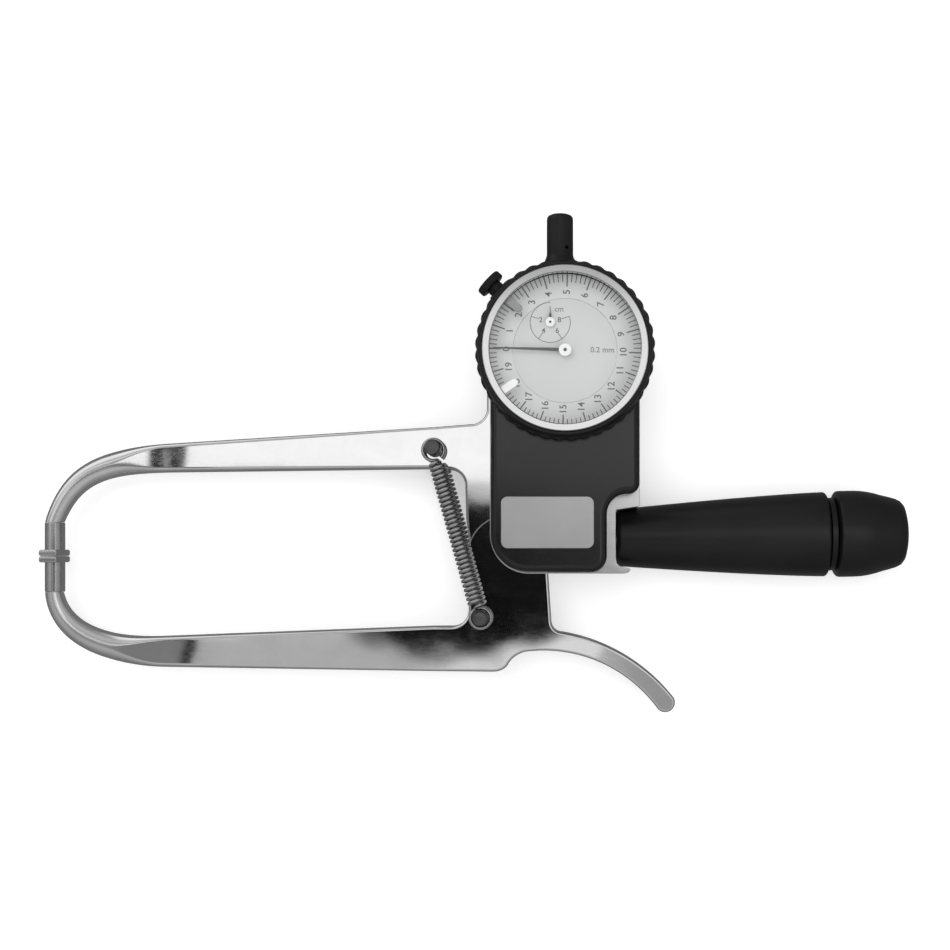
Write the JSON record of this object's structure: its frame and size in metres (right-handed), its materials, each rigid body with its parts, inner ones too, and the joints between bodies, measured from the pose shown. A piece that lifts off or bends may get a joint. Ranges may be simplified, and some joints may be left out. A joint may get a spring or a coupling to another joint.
{
  "type": "skinfold caliper",
  "caption": "Skinfold caliper with a fixed upper arm, a sprung lower arm with a finger trigger, a turned handle and a dial gauge in a black covered body.",
  "frame": {"origin": "on the axis of the lower arm's pivot, in the plane that the caliper's flat back rests on", "axes": "+X from the jaws to the handle, +Y from the trigger to the gauge's stem cap, +Z out of the dial"},
  "size_m": [0.284, 0.1615, 0.0442],
  "materials": {
    "polished_frame": "polished",
    "satin_plate": "satin",
    "steel": "fine ground",
    "dark_steel": "blackened",
    "brass": "turned",
    "black_moulding": "fine grained moulding",
    "black_handle": "turned, satin gloss",
    "dial_face": "painted, pale grey",
    "marker_white": "painted white",
    "marker_grey": "painted grey",
    "crystal": "clear"
  },
  "bodies": {
    "frame": {"frame": "polished_frame", "front_side_plate": "satin_plate", "rear_side_plate": "satin_plate", "pivot_pin": "steel", "front_cover": "black_moulding", "rear_cover": "black_moulding", "cover_screw_1": "dark_steel", "cover_screw_2": "dark_steel", "cover_screw_3": "dark_steel", "cover_screw_top": "dark_steel", "label_plate": "satin_plate", "upper_jaw": "steel", "upper_spring_stud": "dark_steel", "handle_grip": "black_handle", "handle_ring": "black_handle", "handle_end_cap": "black_handle", "handle_tie_rod": "steel", "gauge_back_plate": "satin_plate", "gauge_screw": "dark_steel", "gauge_case": "black_moulding", "gauge_stem": "steel", "stem_saddle": "satin_plate", "stem_cap": "black_moulding", "movement_plate": "brass", "dial_centre": "dial_face", "bezel_clamp_block": "black_moulding"},
    "arm": {"lower_arm": "polished_frame", "pivot_bush": "brass", "lower_jaw": "steel", "lower_spring_stud": "dark_steel", "drive_pin": "steel"},
    "springs": {"front_spring": "steel", "rear_spring": "steel"},
    "spring_feet": {"front_spring_bush": "brass", "rear_spring_bush": "brass"},
    "spindle": {"spindle": "steel", "contact_tip": "dark_steel"},
    "counter": {"counter_wheel": "brass", "small_hand": "dark_steel"},
    "centre": {"centre_pinion": "brass", "main_hand": "dark_steel"},
    "bezel": {"bezel_skirt": "black_moulding", "bezel_ring": "satin_plate", "crystal": "crystal", "dial_scale_ring": "dial_face"},
    "marker_low": {"tolerance_marker_low": "marker_white"},
    "marker_high": {"tolerance_marker_high": "marker_grey"},
    "clamp_screw": {"bezel_clamp_screw": "black_moulding"}
  },
  "joints": [
    {"name": "arm_pivot", "type": "hinge", "parent": "frame", "child": "arm", "pos_m": [0, 0, 0.0142], "axis": [0, 0, 1], "range_deg": [0, 30.9], "stiffness_Nm_per_rad": 0.5, "springref_deg": -154.7},
    {"name": "spindle_slide", "type": "slide", "parent": "frame", "child": "spindle", "axis": [0, 1, 0], "range_m": [0, 0.00881]},
    {"name": "counter_turn", "type": "hinge", "parent": "frame", "child": "counter", "pos_m": [0.0137, 0.074, 0.031], "axis": [0, 0, 1], "range_deg": [0, 288.2]},
    {"name": "centre_turn", "type": "hinge", "parent": "frame", "child": "centre", "pos_m": [0.0184, 0.0651, 0.031], "axis": [0, 0, 1], "range_deg": [-1439.51, 0]},
    {"name": "springs_swing", "type": "hinge", "parent": "frame", "child": "springs", "pos_m": [-0.0245, 0.0352, 0.0142], "axis": [0, 0, 1], "range_deg": [0, 9.69], "deforming": ["front_spring", "rear_spring"]},
    {"name": "spring_feet_slide", "type": "slide", "parent": "springs", "child": "spring_feet", "axis": [0.2699, -0.9629, 0], "range_m": [0, 0.00609]},
    {"name": "bezel_turn", "type": "hinge", "parent": "frame", "child": "bezel", "pos_m": [0.0184, 0.0651, 0.038], "axis": [0, 0, 1], "continuous": true},
    {"name": "marker_low_turn", "type": "hinge", "parent": "bezel", "child": "marker_low", "pos_m": [0.0184, 0.0651, 0.0416], "axis": [0, 0, 1], "range_deg": [-30, 135]},
    {"name": "marker_high_turn", "type": "hinge", "parent": "bezel", "child": "marker_high", "pos_m": [0.0184, 0.0651, 0.0416], "axis": [0, 0, 1], "range_deg": [-135, 30]},
    {"name": "clamp_screw_turn", "type": "hinge", "parent": "frame", "child": "clamp_screw", "pos_m": [-0.00424, 0.08628, 0.0288], "axis": [-0.7302, 0.6833, 0], "range_deg": [0, 360]}
  ],
  "couplings": [
    {"joint": "spindle_slide", "follows": "arm_pivot", "m_per_rad": 0.016305},
    {"joint": "counter_turn", "follows": "arm_pivot", "ratio": 9.3107},
    {"joint": "centre_turn", "follows": "arm_pivot", "ratio": -46.554},
    {"joint": "springs_swing", "follows": "arm_pivot", "ratio": 0.312},
    {"joint": "spring_feet_slide", "follows": "arm_pivot", "m_per_rad": 0.01125}
  ]
}
